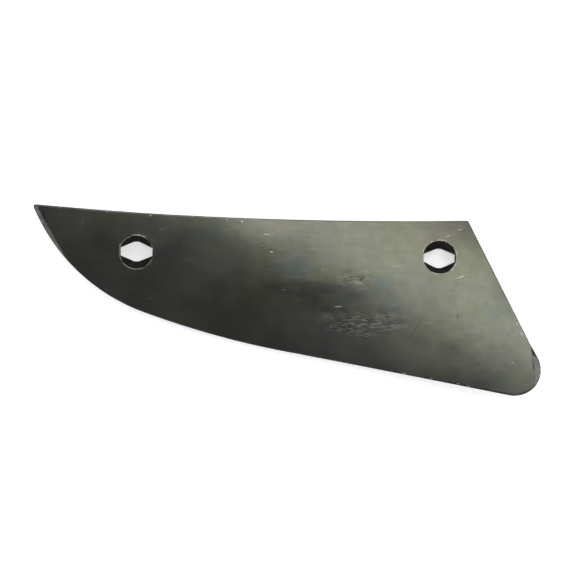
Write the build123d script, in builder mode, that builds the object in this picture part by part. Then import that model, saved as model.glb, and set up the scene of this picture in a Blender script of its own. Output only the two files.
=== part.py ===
from build123d import *
from math import acos, cos, degrees, pi, radians, sin, sqrt, tan
import os

# Breast of a plough's mouldboard: one plate of pressed steel that lies on a bench, face up.
# In plan X runs along the two bolts from the tip to the nose, and Y runs towards the edge that
# meets the mouldboard. The spot midway between the bolts is the zero of the plan.

# Plate and its pressing: hollow along the length, crowned across it, and twisted, with a lead
# in which the face would turn once right round. The level spot is where the pressed face is
# level once the plate lies at rest.
plate_thickness = 8.0
length_radius = 1600.0
crown_radius = 1100.0
twist_lead = 6280.0
level_x = 7.0
level_y = -16.1

# Bolt seats: a round mouth, a cone under it, and a passage for a bolt neck with two nibs
bolt_spacing = 200.0
seat_diameter = 22.0
seat_land = 1.5
seat_cone_angle = 90.0
passage_width = 13.2
passage_length = 21.0
nib_width = 5.3
nib_corner_radius = 0.8

# Rear edge, which meets the mouldboard: from the tip to the corner, bowed slightly inwards
tip_reach = 66.4
tip_height = 29.6
tip_radius = 1.2
corner_reach = 18.9
corner_height = 24.6
corner_radius = 1.0
rear_edge_radius = 3050.0

# Share edge: straight from the corner to where the nose begins
share_edge_lean = 26.1

# Shin, the cutting edge: straight behind the nose, then two tangent arcs up to the tip
shin_slope = 9.85
shin_drop = 64.4
shin_turn_reach = 2.8
shin_bend_radius = 556.0
shin_bend_angle = 9.97

# Nose: round, and a little proud of the share edge
nose_radius = 17.4
nose_swell = 0.7
nose_lead = 9.7

# Flats ground on the face, each at a slope to it. The one at the nose begins where the nose
# does and is turned from the share edge. The one on the shin is widest a little behind the tip.
nose_flat_turn = 19.6
nose_flat_slope = 35.0
tip_flat_setback = 16.7
tip_flat_width = 3.2
tip_flat_slope = 20.0

# Broken edges of the face and of the back
face_edge_radius = 0.5
back_edge_radius = 0.5

# The press: sections of the pressed blank, which stands out past the outline
section_count = 9
blank_margin = 12.0
blank_depth = 60.0

# Corners and directions of the outline
front_bolt = Vector(bolt_spacing / 2, 0)
rear_bolt = Vector(-bolt_spacing / 2, 0)
tip = rear_bolt + Vector(-tip_reach, tip_height)
corner = front_bolt + Vector(corner_reach, corner_height)

share_run = Vector(0, -1).rotate(Axis.Z, share_edge_lean)
share_inward = Vector(-1, 0).rotate(Axis.Z, share_edge_lean)
shin_run = Vector(-1, 0).rotate(Axis.Z, -shin_slope)
shin_inward = Vector(0, 1).rotate(Axis.Z, -shin_slope)
shin_middle = Vector(0, -shin_drop)
shin_turn = shin_middle + shin_run * shin_turn_reach

# The nose circle touches the shin and swells past the share edge, which leads into it on a
# line that touches the circle.
nose_offset = nose_radius - nose_swell
nose_along_shin = Axis(shin_middle + shin_inward * nose_radius, shin_run)
nose_along_share = Axis(corner + share_inward * nose_offset, share_run)
nose_center = nose_along_shin.intersect(nose_along_share)
nose_start = nose_center - share_inward * nose_offset - share_run * nose_lead
nose_lever = nose_start - nose_center
lead_turn = degrees(acos(nose_radius / nose_lever.length))
lead_end = nose_center + nose_lever.normalized().rotate(Axis.Z, -lead_turn) * nose_radius
nose_end = nose_center - shin_inward * nose_radius

with BuildSketch() as outline:
    with BuildLine():
        RadiusArc(tip, corner, -rear_edge_radius)
        Line(corner, nose_start)
        Line(nose_start, lead_end)
        TangentArc(lead_end, nose_end, tangent=lead_end - nose_start)
        Line(nose_end, shin_turn)
        bend = JernArc(shin_turn, shin_run, shin_bend_radius, -shin_bend_angle)
        tip_bend = TangentArc(bend @ 1, tip, tangent=bend % 1)
    make_face()
    fillet(outline.vertices().sort_by_distance(tip)[0], tip_radius)
    fillet(outline.vertices().sort_by_distance(corner)[0], corner_radius)


def section_plane(x):
    """Plane across the plate at x: it rides the length's arc and is rolled by the twist."""
    along = x - level_x
    rise = length_radius - sqrt(length_radius**2 - along**2)
    roll = -2 * pi * along / twist_lead
    return Plane(origin=(x, level_y, rise), x_dir=(0, cos(roll), sin(roll)), z_dir=(1, 0, 0))


plan = outline.sketch.bounding_box()
first_section = plan.min.X - blank_margin
section_step = (plan.size.X + 2 * blank_margin) / (section_count - 1)
front_sweep = degrees((level_y - plan.min.Y + blank_margin) / crown_radius)
rear_sweep = degrees((plan.max.Y - level_y + blank_margin) / crown_radius)

with BuildPart() as pressed_blank:
    for section in range(section_count):
        with BuildSketch(section_plane(first_section + section * section_step)):
            with BuildLine():
                crown = CenterArc(
                    center=(0, -crown_radius),
                    radius=crown_radius,
                    start_angle=90 - rear_sweep,
                    arc_size=rear_sweep + front_sweep,
                )
                rear_side = crown @ 0
                front_side = crown @ 1
                Polyline(
                    rear_side,
                    (rear_side.X, -blank_depth),
                    (front_side.X, -blank_depth),
                    front_side,
                )
            make_face()
    loft()

with BuildPart() as trimmed_blank:
    extrude(outline.sketch, amount=blank_depth, both=True)
    add(pressed_blank.part, mode=Mode.INTERSECT)

curved_faces = trimmed_blank.faces().filter_by(GeomType.PLANE, reverse=True)
pressed_face = curved_faces.sort_by(SortBy.AREA)[-1]


def touching_plane(spot):
    """Plane that touches the pressed face above a spot of the plan, its x along the plate."""
    plumb_line = Axis((spot.X, spot.Y, -blank_depth), (0, 0, 1))
    point, outward = pressed_face.find_intersection_points(plumb_line)[0]
    return Plane(origin=point, x_dir=Vector(0, 1, 0).cross(outward), z_dir=outward)


def flat_plane(spot, heading, slope):
    """Plane of a ground flat: its crease passes the spot, and it falls away along the heading."""
    touch = touching_plane(spot)
    downhill = touch.x_dir * heading.X + touch.y_dir * heading.Y
    outward = touch.z_dir * cos(radians(slope)) + downhill * sin(radians(slope))
    return Plane(origin=touch.origin, z_dir=outward)


seat_radius = seat_diameter / 2
throat_radius = passage_width / 2
cone_depth = (seat_radius - throat_radius) / tan(radians(seat_cone_angle / 2))
throat_level = -seat_land - cone_depth

nose_flat_heading = (-share_inward).rotate(Axis.Z, -nose_flat_turn)
setback_share = 1 - tip_flat_setback / tip_bend.length
tip_flat_heading = (tip_bend % setback_share).rotate(Axis.Z, 90)
tip_flat_spot = tip_bend @ setback_share - tip_flat_heading * tip_flat_width

with BuildPart() as pressed_plate:
    # the sheet, as thick along the face's own normals, with its rims broken
    thicken(pressed_face, amount=-plate_thickness)
    back, front = pressed_plate.faces().sort_by(SortBy.AREA)[-2:]
    fillet(front.outer_wire().edges(), face_edge_radius)
    fillet(back.outer_wire().edges(), back_edge_radius)

    # the two bolt seats, square to the face
    for bolt in (rear_bolt, front_bolt):
        seat = touching_plane(bolt)
        with BuildSketch(Plane(origin=seat.origin, x_dir=seat.x_dir, z_dir=-seat.y_dir)):
            with BuildLine():
                Polyline(
                    (0, plate_thickness),
                    (seat_radius, plate_thickness),
                    (seat_radius, -seat_land),
                    (throat_radius, throat_level),
                    (0, throat_level),
                    close=True,
                )
            make_face()
        revolve(axis=Axis(seat.origin, seat.z_dir), mode=Mode.SUBTRACT)
        with BuildSketch(seat) as passage:
            Circle(throat_radius)
            Rectangle(passage_length, nib_width)
            make_hull()
            ends = passage.vertices().group_by(Axis.X)
            fillet(ends[0] + ends[-1], nib_corner_radius)
        extrude(amount=2 * plate_thickness, both=True, mode=Mode.SUBTRACT)

    # the ground flats
    split(
        bisect_by=flat_plane(nose_start, nose_flat_heading, nose_flat_slope),
        keep=Keep.BOTTOM,
    )
    split(
        bisect_by=flat_plane(tip_flat_spot, tip_flat_heading, tip_flat_slope),
        keep=Keep.BOTTOM,
    )

# The plate is set down with its lowest point on the bench and its middle over the zero.
surface_points = pressed_plate.part.tessellate(0.01)[0]
xs = [point.X for point in surface_points]
ys = [point.Y for point in surface_points]
zs = [point.Z for point in surface_points]
foot = Vector((min(xs) + max(xs)) / 2, (min(ys) + max(ys)) / 2, min(zs))

with BuildPart() as breast_plate:
    with Locations(-foot):
        add(pressed_plate.part)

os.makedirs("parts", exist_ok=True)
breast_plate.part.label = "breast_plate"
export_step(breast_plate.part, "parts/breast_plate.step")
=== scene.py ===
"""Mouldboard breast: a twisted, pressed steel plate with mill scale, and its stage.

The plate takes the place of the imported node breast_plate. All lengths are in metres. In plan,
x runs along the two bolts towards the nose and y runs towards the edge that meets the
mouldboard. Plan spots are complex numbers, x plus y times i, counted from the spot midway
between the bolts. The finished mesh is set down on the frame's own box.
"""

import bmesh
import bpy
import numpy as np
from bpy.props import FloatProperty, FloatVectorProperty, IntProperty, PointerProperty
from bpy.types import Operator, Panel, PropertyGroup
from math import atan, cos, pi, radians, sin, tan
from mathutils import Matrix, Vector


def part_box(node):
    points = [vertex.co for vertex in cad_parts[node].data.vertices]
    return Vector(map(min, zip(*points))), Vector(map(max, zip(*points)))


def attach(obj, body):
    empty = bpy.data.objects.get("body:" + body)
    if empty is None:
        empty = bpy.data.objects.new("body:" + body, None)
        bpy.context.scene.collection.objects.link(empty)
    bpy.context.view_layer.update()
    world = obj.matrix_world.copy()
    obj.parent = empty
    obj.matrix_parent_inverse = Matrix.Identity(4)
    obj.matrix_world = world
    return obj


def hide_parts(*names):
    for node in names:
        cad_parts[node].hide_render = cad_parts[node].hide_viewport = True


bl_info = {
    "name": "Mouldboard breast",
    "version": (1, 0, 0),
    "blender": (4, 5, 0),
    "location": "View3D > Sidebar > Breast plate",
    "description": "Makes a plough's breast plate and the stage it lies on",
    "category": "Object",
}

PLATE_NODE = "breast_plate"
ROOT_BODY = "root"

MILLIMETRE = 0.001
MERGE_DISTANCE = 0.000002
SHARP_ANGLE = 27.0

# samples along the outline, the least step between two of its spots, and the rounds in which
# spots are moved onto a flat's plane or onto a seat's profile
OUTLINE_SAMPLES = 40001
LEAST_STEP = 1e-9
CREASE_ROUNDS = 6
SEAT_ROUNDS = 8

# rows of cells across the rims, the flats, the cut edges and the seats
RIM_ROWS = 4
WALL_ROWS = 6
COLLAR_ROWS = 8
SEAT_APRON = 9
SEAT_RIM = 4
SEAT_LAND = 2
SEAT_CONE = 6
SEAT_WALL = 5

# sides of the round backdrop, and rows of its cove
BACKDROP_SIDES = 96
COVE_ROWS = 12

# The block of cells that makes room for a seat reaches this many mouth radii, and the relief
# of the face dies out over a short way round the mouth.
SEAT_BLOCK = 1.3
SEAT_CALM = 0.004

# Round a seat the cells crowd together at the corners of its passage: by how much more than
# elsewhere, over how many degrees, and the samples that measure it.
CORNER_CROWDING = 2.4
CORNER_SPREAD = 4.0
TURN_SAMPLES = 7201

# finishes of the plate, in the order of its material slots
FINISH_COUNT = 7
FACE_FINISH, BACK_FINISH, FLAT_FINISH, EDGE_FINISH, RIM_FINISH, SEAT_FINISH, MOUTH_FINISH = range(
    FINISH_COUNT
)

# how worn the steel is along the creases of the flats and down the cut edges, where one is fully
CREASE_WEAR = 0.5
EDGE_WEAR = 0.3

# the range that holds nearly all values of a cloudy noise
NOISE_RANGE = (0.3, 0.7)

# Waves in the face, in the back and along the cut edges: between which lengths, how many are
# summed, and the seed that draws them
FACE_WAVES = {"longest": 0.09, "shortest": 0.025, "count": 12, "seed": 11}
BACK_WAVES = {"longest": 0.06, "shortest": 0.02, "count": 12, "seed": 14}
EDGE_WAVES = {"longest": 0.03, "shortest": 0.006, "count": 10, "seed": 13}

# Patches that other steel has scuffed: middle, size in plan and number of dents. Each dent draws
# its reach, its width and its share of the full depth from a range.
SCUFF_PATCHES = (
    (0.0492 - 0.0444j, 0.056 + 0.015j, 26),
    (0.0461 - 0.0149j, 0.018 + 0.013j, 9),
)
DENT_SEED = 12
DENT_REACHES = (0.0015, 0.0045)
DENT_WIDTHS = (0.0011, 0.0018)
DENT_DEPTHS = (0.4, 1.0)

# Marks on the face. Each row gives the middle on the plate, the length and the width, all in
# millimetres, then the turn in degrees and the strength.
BRIGHT_CHIPS = (
    (113.5 + 48.3j, 3.6, 0.7, 1, 0.5),
    (105.7 + 44.0j, 4.2, 0.7, 16, 0.5),
    (115.1 + 17.3j, 3.3, 0.9, 21, 1.0),
    (147.6 - 38.3j, 1.0, 1.0, 1, 0.9),
    (150.5 - 13.2j, 2.0, 1.1, -59, 0.9),
    (153.4 - 19.5j, 2.3, 1.2, -59, 0.8),
    (94.8 - 50.5j, 2.0, 0.9, 61, 1.0),
    (112.8 - 53.1j, 2.6, 0.7, -14, 0.6),
    (119.7 - 54.5j, 3.3, 0.7, -19, 0.6),
    (77.6 - 47.0j, 3.3, 0.7, -11, 0.5),
    (-40.5 + 52.3j, 1.1, 0.8, 1, 1.0),
    (-30.5 + 51.4j, 1.7, 1.1, 1, 1.0),
    (-14.2 + 43.3j, 4.6, 0.9, -3, 0.9),
    (-11.0 + 31.7j, 2.6, 0.9, -29, 1.0),
    (33.9 - 3.7j, 5.3, 0.8, 1, 0.6),
    (-122.6 + 56.9j, 1.7, 0.7, 1, 0.6),
    (-90.7 + 54.2j, 2.0, 0.7, 1, 0.7),
)
FAINT_MARKS = (
    (72.4 + 23.8j, 11.2, 1.3, 4, 0.5),
    (76.9 + 20.9j, 4.0, 1.0, 11, 0.4),
    (112.5 + 16.4j, 5.9, 1.7, 11, 0.8),
    (121.7 + 19.0j, 2.6, 1.3, -39, 0.5),
    (120.4 + 26.9j, 1.1, 1.1, 1, 0.6),
    (-134.4 + 48.8j, 5.9, 0.9, 86, 0.4),
    (-83.0 + 45.6j, 6.6, 0.8, 4, 0.4),
    (-140.0 + 19.7j, 3.3, 0.7, -49, 0.4),
    (-119.1 + 4.9j, 3.3, 0.9, -34, 0.5),
    (-90.6 - 0.2j, 2.0, 1.0, 1, 0.4),
    (-20.2 + 52.7j, 6.6, 1.1, 1, 0.5),
    (-8.4 + 45.2j, 5.3, 0.8, 13, 0.4),
    (-16.6 + 35.9j, 4.0, 0.7, 5, 0.4),
    (23.0 + 21.5j, 7.9, 0.8, 73, 0.5),
    (-2.6 + 6.7j, 4.0, 0.8, 1, 0.6),
    (49.4 - 6.1j, 3.3, 0.8, -4, 0.4),
    (-8.8 - 6.4j, 2.6, 1.0, 21, 0.4),
    (-37.5 + 2.4j, 2.6, 1.3, 31, 0.4),
)
DARK_MARKS = (
    (85.3 - 16.8j, 22.4, 0.9, 58, 0.5),
    (112.1 - 8.9j, 4.0, 1.7, 81, 0.6),
    (109.5 - 28.7j, 4.6, 2.0, 26, 0.4),
    (-11.4 + 33.2j, 2.0, 1.3, 1, 1.0),
    (-15.9 + 21.7j, 2.6, 2.0, 1, 0.5),
    (-158.5 + 52.0j, 9.2, 1.5, -65, 0.8),
)
SCUFFED_SPOTS = (
    (50.0 - 15.5j, 60.0, 18.0, 1, 1.0),
    (45.6 + 15.0j, 27.0, 15.0, 1, 1.0),
)
# Painted shade: dark patches laid into the face's colour where the face reflects dark
# surroundings.
PAINTED_SHADE_PATCHES = (
    (31.9 + 2.2j, 76.0, 26.0, 1, 0.5),
    (145.0 + 3.0j, 34.0, 18.0, -63, 0.35),
    (43.0 - 15.0j, 52.0, 22.0, 1, 0.25),
)
# Painted sheen: paler patches laid into the face's colour where it looks more brightly lit.
PAINTED_SHEEN_SPOTS = (
    (-22.0 + 47.0j, 62.0, 22.0, -4, 0.8),
    (86.0 - 36.0j, 76.0, 26.0, -12, 0.7),
    (-145.0 + 47.0j, 48.0, 26.0, -20, 0.55),
)
# Painted shade with a crisp edge, where the face's reflection turns from light to dark.
PAINTED_SHADE_STEPS = (
    (10.0 + 8.0j, 66.0, 12.0, 1, 0.42),
    (37.0 + 5.5j, 32.0, 12.0, -8, 0.3),
)
ROSY_SPOTS = (
    (121.2 + 23.4j, 8.0, 4.0, -69, 0.8),
    (92.3 - 38.8j, 14.0, 10.0, 1, 0.6),
    (-46.7 - 7.7j, 26.0, 15.0, 1, 0.5),
    (104.0 + 46.0j, 80.0, 36.0, 1, 0.3),
)
TEAL_SPOTS = (
    (61.9 + 11.9j, 15.0, 11.0, 1, 0.9),
    (135.3 - 5.3j, 17.0, 14.0, 1, 0.5),
    (4.5 + 21.6j, 22.0, 12.0, 1, 0.7),
    (-50.6 + 43.2j, 26.0, 16.0, 1, 0.6),
)
BLACK_SPOTS = ((160.8 - 31.4j, 9.0, 2.4, -63, 1.0),)

# Chips that bolt heads have left round the mouths of the seats. After a seat's middle, each
# gives the angle round it in degrees, the length in millimetres and the strength. The reach is
# how far they lie from the middle.
MOUTH_CHIPS = (
    (
        100.3 + 29.9j,
        ((118, 1.3, 1.0), (85, 4.2, 0.9), (68, 1.3, 1.0), (157, 2.0, 0.9), (15, 2.0, 1.0))
        + ((-26, 2.8, 0.9), (-45, 1.3, 1.0), (185, 1.6, 0.5)),
    ),
    (
        -99.8 + 30.0j,
        ((102, 1.2, 0.8), (94, 1.2, 0.8), (82, 3.2, 0.9), (66, 3.6, 0.8), (156, 1.9, 0.6)),
    ),
)
MOUTH_CHIP_REACH = 11.45
MOUTH_CHIP_WIDTH = 0.75

# Scrapes in the scuffed spots: the turn in degrees, then the length and the width in metres
SCRAPE_RUNS = ((5.0, 0.009, 0.0006), (13.0, 0.012, 0.0007), (-8.0, 0.007, 0.0007))

# The soft box over the plate, and those that are aimed at it from round about: name, place,
# width and height, and the setting that holds the power
OVERHEAD_PLACE = (0.283, 0.317, 1.6)
OVERHEAD_SIZE = (3.88, 0.474)
OVERHEAD_TURN = -15.8
AIMED_BOXES = (
    ("rear_soft_box", (0.7, 1.6, 1.8), (1.2, 0.8), "rear_power"),
    ("tip_soft_box", (-1.32, -0.62, 1.6), (1.2, 0.8), "tip_power"),
    ("front_soft_box", (0.2, -1.6, 1.5), (0.6, 0.4), "front_power"),
)

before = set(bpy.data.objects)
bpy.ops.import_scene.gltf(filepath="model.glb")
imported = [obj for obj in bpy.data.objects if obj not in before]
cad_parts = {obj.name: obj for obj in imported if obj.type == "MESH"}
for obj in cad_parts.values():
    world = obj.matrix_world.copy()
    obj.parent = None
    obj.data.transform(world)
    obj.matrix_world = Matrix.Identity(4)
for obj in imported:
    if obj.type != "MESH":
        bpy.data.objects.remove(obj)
cad_low, cad_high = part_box(PLATE_NODE)
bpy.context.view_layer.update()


def length(name, description, default):
    """A length that a user may change, in metres."""
    return FloatProperty(name=name, description=description, default=default, unit="LENGTH")


def angle(name, description, default):
    """An angle that a user may change, given in degrees."""
    return FloatProperty(
        name=name, description=description, default=radians(default), unit="ROTATION"
    )


def colour(name, description, default):
    """A colour that a user may change."""
    return FloatVectorProperty(
        name=name, description=description, default=default, subtype="COLOR", min=0.0, max=1.0
    )


def share(name, description, default):
    """A share from nothing to all."""
    return FloatProperty(
        name=name, description=description, default=default, min=0.0, max=1.0, subtype="FACTOR"
    )


def power(name, description, default):
    """The power of a light, in watts."""
    return FloatProperty(name=name, description=description, default=default, unit="POWER")


class BreastSheet(PropertyGroup):
    """The pressed sheet and how it is bent."""

    thickness: length("Thickness", "Thickness of the steel", 0.008)
    length_radius: length("Length radius", "Radius of the hollow along the plate", 1.6)
    crown_radius: length("Crown radius", "Radius of the crown across the plate", 1.1)
    twist_lead: length("Twist lead", "Length in which the face would turn right round", 6.28)
    level_x: length("Level spot x", "Where the face is level, along the plate", 0.007)
    level_y: length("Level spot y", "Where the face is level, across the plate", -0.0161)
    face_rim: length("Face rim", "Radius of the broken edge of the face", 0.0005)
    back_rim: length("Back rim", "Radius of the broken edge of the back", 0.0005)


class BreastOutline(PropertyGroup):
    """The plate's outline in plan."""

    bolt_spacing: length("Bolt spacing", "Distance between the bolts", 0.2)
    tip_reach: length("Tip reach", "From the rear bolt to the tip, along the plate", 0.0664)
    tip_height: length("Tip height", "From the rear bolt to the tip, across the plate", 0.0296)
    tip_radius: length("Tip radius", "Radius of the blunt tip", 0.0012)
    corner_reach: length("Corner reach", "From the front bolt to the corner, along", 0.0189)
    corner_height: length("Corner height", "From the front bolt to the corner, across", 0.0246)
    corner_radius: length("Corner radius", "Radius of the corner", 0.001)
    rear_edge_radius: length("Rear edge radius", "Radius of the rear edge's bow", 3.05)
    share_edge_lean: angle("Share edge lean", "Lean of the share edge", 26.1)
    shin_slope: angle("Shin slope", "Slope of the straight of the shin", 9.85)
    shin_drop: length("Shin drop", "From the bolts' middle down to the shin", 0.0644)
    shin_turn_reach: length("Shin turn reach", "Where the shin begins to bend", 0.0028)
    shin_bend_radius: length("Shin bend radius", "Radius of the shin's first bend", 0.556)
    shin_bend_angle: angle("Shin bend angle", "Turn of the shin's first bend", 9.97)
    nose_radius: length("Nose radius", "Radius of the nose", 0.0174)
    nose_swell: length("Nose swell", "How far the nose stands proud", 0.0007)
    nose_lead: length("Nose lead", "Where the nose begins, above its middle", 0.0097)


class BreastSeats(PropertyGroup):
    """The two bolt seats."""

    mouth_radius: length("Mouth radius", "Radius of the round mouth", 0.011)
    mouth_rim: length("Mouth rim", "Radius of the worn rim of the mouth", 0.00015)
    land: length("Land", "Depth of the straight land under the mouth", 0.0015)
    cone_angle: angle("Cone angle", "Full angle of the cone", 90.0)
    passage_width: length("Passage width", "Width of the passage", 0.0132)
    passage_length: length("Passage length", "Length of the passage", 0.021)
    nib_width: length("Nib width", "Width of the passage's ends", 0.0053)
    nib_corner_radius: length("Nib corner radius", "Radius at the nibs' corners", 0.0008)


class BreastFlats(PropertyGroup):
    """The two flats ground on the face."""

    nose_turn: angle("Nose flat turn", "Turn of the nose flat from the share edge", 19.6)
    nose_slope: angle("Nose flat slope", "Slope of the nose flat to the face", 35.0)
    tip_setback: length("Tip flat setback", "How far behind the tip it is widest", 0.0167)
    tip_width: length("Tip flat width", "Its width there", 0.0032)
    tip_slope: angle("Tip flat slope", "Slope of the tip flat to the face", 20.0)


class BreastMesh(PropertyGroup):
    """How finely the plate is meshed."""

    along: IntProperty(name="Along", description="Cells along the plate", default=280, min=100)
    across: IntProperty(name="Across", description="Cells across the plate", default=96, min=48)


class BreastWear(PropertyGroup):
    """Relief that use and handling leave on the steel."""

    ripple: length("Ripple", "Depth of the slow ripples of the press", 0.00006)
    edge_wander: length("Edge wander", "How far the cut edges wander inwards", 0.00008)
    scuff: length("Scuff depth", "Depth of the scuffed patches", 0.00006)


class SteelLook(PropertyGroup):
    """Colours and gloss of the steel."""

    olive: colour("Olive scale", "Mill scale where it is olive", (0.189, 0.205, 0.137))
    grey: colour("Grey scale", "Mill scale where it is grey", (0.196, 0.201, 0.16))
    rosy: colour("Rosy scale", "Mill scale where it is rosy", (0.2, 0.172, 0.156))
    teal: colour("Teal scale", "Mill scale where it is teal", (0.146, 0.178, 0.16))
    # painted shade: colour of the dark patches painted into the face, also used for its
    # crisp-edged shade
    painted_shade: colour("Oil film", "Where the oil stands thick and dark", (0.085, 0.088, 0.08))
    # painted sheen: the paler colour painted where the face looks more brightly lit
    painted_sheen: colour("Haze", "Where the scale has dried to a paler grey", (0.264, 0.263, 0.208))
    bare: colour("Bare steel", "Steel that is scraped clean", (0.6, 0.6, 0.54))
    ground: colour("Ground steel", "Steel of the ground flats", (0.175, 0.177, 0.165))
    oxide: colour("Dark oxide", "Oxide on the cut edges", (0.042, 0.04, 0.038))
    # seat colour: black oxide, made darker still as painted shade down in the recess
    seat: colour("Seat oxide", "Oxide down in the bolt seats", (0.022, 0.019, 0.016))
    gloss: share("Roughness", "Roughness of the oiled scale", 0.21)
    wave: length("Wave depth", "Depth of the shallow waves in the scale", 0.00005)
    grain: length("Grain depth", "Depth of the fine grain of the scale", 0.000006)
    scrape: length("Scrape depth", "Depth of the scrapes in the scuffed spots", 0.00003)


class StageLook(PropertyGroup):
    """The floor, the camera and the light."""

    camera_height: length("Camera height", "Height of the camera over the floor", 0.8)
    view_width: length("View width", "Width of the picture at the plate", 0.37552)
    plate_level: length("Plate level", "Height at which the view is that wide", 0.01335)
    camera_x: length("Camera x", "Where the camera stands, along the plate", -0.0016)
    camera_y: length("Camera y", "Where the camera stands, across the plate", 0.00993)
    camera_turn: angle("Camera turn", "Turn of the camera about its own axis", 0.887)
    backdrop_radius: length("Backdrop radius", "Radius of the round backdrop", 2.9)
    backdrop_height: length("Backdrop height", "Height of the backdrop's wall", 2.0)
    cove_radius: length("Cove radius", "Radius at which the floor turns up into the wall", 0.5)
    floor_colour: colour("Floor colour", "Colour of the floor and the wall", (0.86, 0.86, 0.86))
    floor_glow: share("Floor glow", "How much light the backdrop gives by itself", 0.6)
    room_colour: colour("Room colour", "Colour of the light from the room", (0.8, 0.78, 1.0))
    room_light: share("Room light", "Strength of the light from the room", 0.115)
    overhead_power: power("Overhead power", "Power of the soft box over the plate", 8.9)
    rear_power: power("Rear power", "Power of the soft box behind the plate", 17.0)
    tip_power: power("Tip power", "Power of the soft box beside the tip", 1.7)
    front_power: power("Front power", "Power of the soft box before the plate", 6.0)


def turned(size):
    """Unit step in plan that points at the angle."""
    return np.exp(1j * size)


def running_total(steps):
    """Sums of the steps so far, from nothing before the first to the total after the last."""
    return np.concatenate([[0.0], np.cumsum(steps)])


# The pressed sheet. A vertex on it is given by a plan spot and a depth below the face.


def sheet_slopes(sheet, spot):
    """Height and slopes of the pressed face over a plan spot.

    Across the plate each section is a circle of the crown radius. Its top rides an arc of the
    length radius, and its middle is turned about the plate's length by the twist at that place.
    """
    along = spot.real - sheet.level_x
    roll = -2 * pi * along / sheet.twist_lead
    roll_rate = -2 * pi / sheet.twist_lead
    hollow = np.sqrt(sheet.length_radius**2 - along**2)
    aside = spot.imag - sheet.level_y - sheet.crown_radius * np.sin(roll)
    crown = np.sqrt(sheet.crown_radius**2 - aside**2)
    height = sheet.length_radius - hollow - sheet.crown_radius * np.cos(roll) + crown
    aside_rate = -sheet.crown_radius * np.cos(roll) * roll_rate
    slope_x = (
        along / hollow
        + sheet.crown_radius * np.sin(roll) * roll_rate
        - aside / crown * aside_rate
    )
    slope_y = -aside / crown
    return height, slope_x, slope_y


def sheet_normal(sheet, spot):
    """Unit normal of the pressed face over a plan spot, pointing up."""
    slope_x, slope_y = sheet_slopes(sheet, spot)[1:]
    normal = np.stack([-slope_x, -slope_y, np.ones_like(slope_x)], -1)
    return normal / np.linalg.norm(normal, axis=-1, keepdims=True)


def sheet_point(sheet, spot, depth):
    """Point of the sheet: the face's point over the spot, less the depth along its normal."""
    face = np.stack([spot.real, spot.imag, sheet_slopes(sheet, spot)[0]], -1)
    return face - np.asarray(depth)[..., None] * sheet_normal(sheet, spot)


# Planes and seats are frames of unit vectors on the sheet.


def touching_frame(sheet, spot):
    """Origin, x along the plate, y across it and normal of the plane touching the face."""
    spot = np.asarray(spot, complex)
    origin = sheet_point(sheet, spot, 0.0)
    normal = sheet_normal(sheet, spot)
    x_axis = np.cross([0.0, 1.0, 0.0], normal)
    x_axis /= np.linalg.norm(x_axis)
    return origin, x_axis, np.cross(normal, x_axis), normal


def flat_plane(sheet, spot, heading, slope):
    """Origin and normal of a flat's plane, which falls away from the face along the heading."""
    origin, x_axis, y_axis, normal = touching_frame(sheet, spot)
    downhill = x_axis * heading.real + y_axis * heading.imag
    return origin, normal * cos(slope) + downhill * sin(slope)


def flat_depth(sheet, plane, spot):
    """How deep a flat's plane lies below the face, along the face's normal there."""
    origin, outward = plane
    face = sheet_point(sheet, spot, 0.0)
    return (face - origin) @ outward / (sheet_normal(sheet, spot) @ outward)


# Outlines are traced as stations: spots and headings, in the order of travel.


def arc(center, radius, start, stop, count=160):
    """Spots on a circle from one angle to another, with their headings."""
    turn = np.linspace(start, stop, count)
    return center + radius * turned(turn), turn + np.sign(stop - start) * pi / 2


def line(start, stop):
    """The two ends of a straight run, with their heading."""
    heading = np.angle(stop - start)
    return np.array([start, stop]), np.array([heading, heading])


def joined(runs, turning_weight):
    """One path from runs laid end to end, measured by its length plus a weight on its turning."""
    spots = np.concatenate([run[0] for run in runs])
    headings = np.unwrap(np.concatenate([run[1] for run in runs]))
    steps = np.abs(np.diff(spots)) + turning_weight * np.abs(np.diff(headings)) + LEAST_STEP
    return running_total(steps), spots, headings


def along_path(path, measure):
    """Spots and headings at given measures of a closed path."""
    marks, spots, headings = path
    turns, rest = np.divmod(measure, marks[-1])
    spot = np.interp(rest, marks, spots.real) + 1j * np.interp(rest, marks, spots.imag)
    return spot, np.interp(rest, marks, headings) + turns * (headings[-1] - headings[0])


def circles_meet(first, first_radius, second, second_radius, near):
    """The meeting spot of two circles that lies nearest to a given spot."""
    apart = second - first
    gap = abs(apart)
    foot = (gap**2 + first_radius**2 - second_radius**2) / (2 * gap)
    rise = np.sqrt(first_radius**2 - foot**2)
    ways = first + apart / gap * (foot + 1j * rise * np.array([1.0, -1.0]))
    return ways[np.argmin(np.abs(ways - near))]


def line_meets_circle(spot, heading, center, radius, near):
    """The spot nearest to a given one where a straight line meets a circle."""
    step = turned(heading)
    foot = ((center - spot) * np.conj(step)).real
    offset = abs(spot + foot * step - center)
    reach = np.sqrt(radius**2 - offset**2)
    ways = spot + step * (foot + reach * np.array([1.0, -1.0]))
    return ways[np.argmin(np.abs(ways - near))]


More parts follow.
